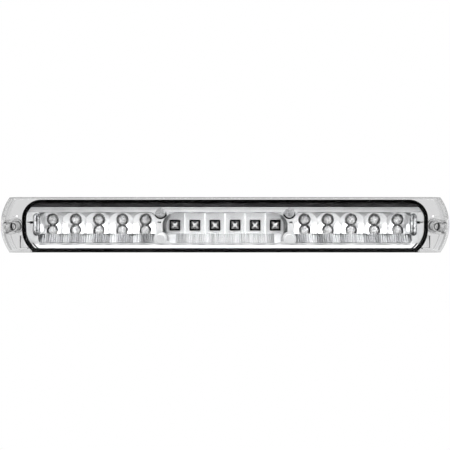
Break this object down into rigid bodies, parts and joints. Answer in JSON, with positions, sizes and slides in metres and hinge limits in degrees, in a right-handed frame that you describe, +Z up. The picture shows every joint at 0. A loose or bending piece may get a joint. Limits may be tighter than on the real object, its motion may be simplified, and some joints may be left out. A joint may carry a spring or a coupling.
{
  "type": "third brake light",
  "caption": "Long clear-lensed brake lamp with LED bowls at both ends, a square-LED cargo lamp in the middle, a black housing and screw ears.",
  "frame": {"origin": "midway between the axes of the two ear screw holes, on the vehicle's panel, which the gasket and the lens's screw towers meet", "axes": "+X along the lamp to its right end as seen from behind the vehicle, +Y along the screws into the vehicle, +Z up; the lamp shines along -Y"},
  "size_m": [0.398, 0.045, 0.049],
  "materials": {
    "clear_lens": "gloss clear polycarbonate",
    "sealant": "satin",
    "housing_plastic": "satin moulded",
    "gasket_foam": "matte closed-cell foam",
    "bezel_chrome": "vacuum metallized",
    "reflector_chrome": "vacuum metallized",
    "led_epoxy": "clear epoxy",
    "led_body": "gloss",
    "frame_plastic": "gloss",
    "circuit_board": "solder mask",
    "screw_steel": "zinc plated",
    "chip_ceramic": "matte",
    "chip_epoxy": "satin",
    "terminal_metal": "tinned",
    "wire_insulation": "satin",
    "grommet_rubber": "matte",
    "membrane": "matte"
  },
  "bodies": {
    "root": {"outer_lens": "clear_lens", "lens_sealant": "sealant", "housing": "housing_plastic", "mounting_gasket": "gasket_foam", "bezel": "bezel_chrome", "left_reflector": "reflector_chrome", "right_reflector": "reflector_chrome", "cargo_reflector": "reflector_chrome", "left_brake_leds": "led_epoxy", "right_brake_leds": "led_epoxy", "cargo_leds": "led_body", "cargo_led_lenses": "led_epoxy", "cargo_led_frames": "frame_plastic", "left_brake_board": "circuit_board", "right_brake_board": "circuit_board", "cargo_board": "circuit_board", "bezel_screws": "screw_steel", "board_screws": "screw_steel", "dropping_resistors": "chip_ceramic", "polarity_diodes": "chip_epoxy", "wire_terminals": "terminal_metal", "jumper_wires": "wire_insulation", "wire_grommet": "grommet_rubber", "vent_membrane": "membrane", "ear_seal_rings": "grommet_rubber"}
  },
  "joints": []
}
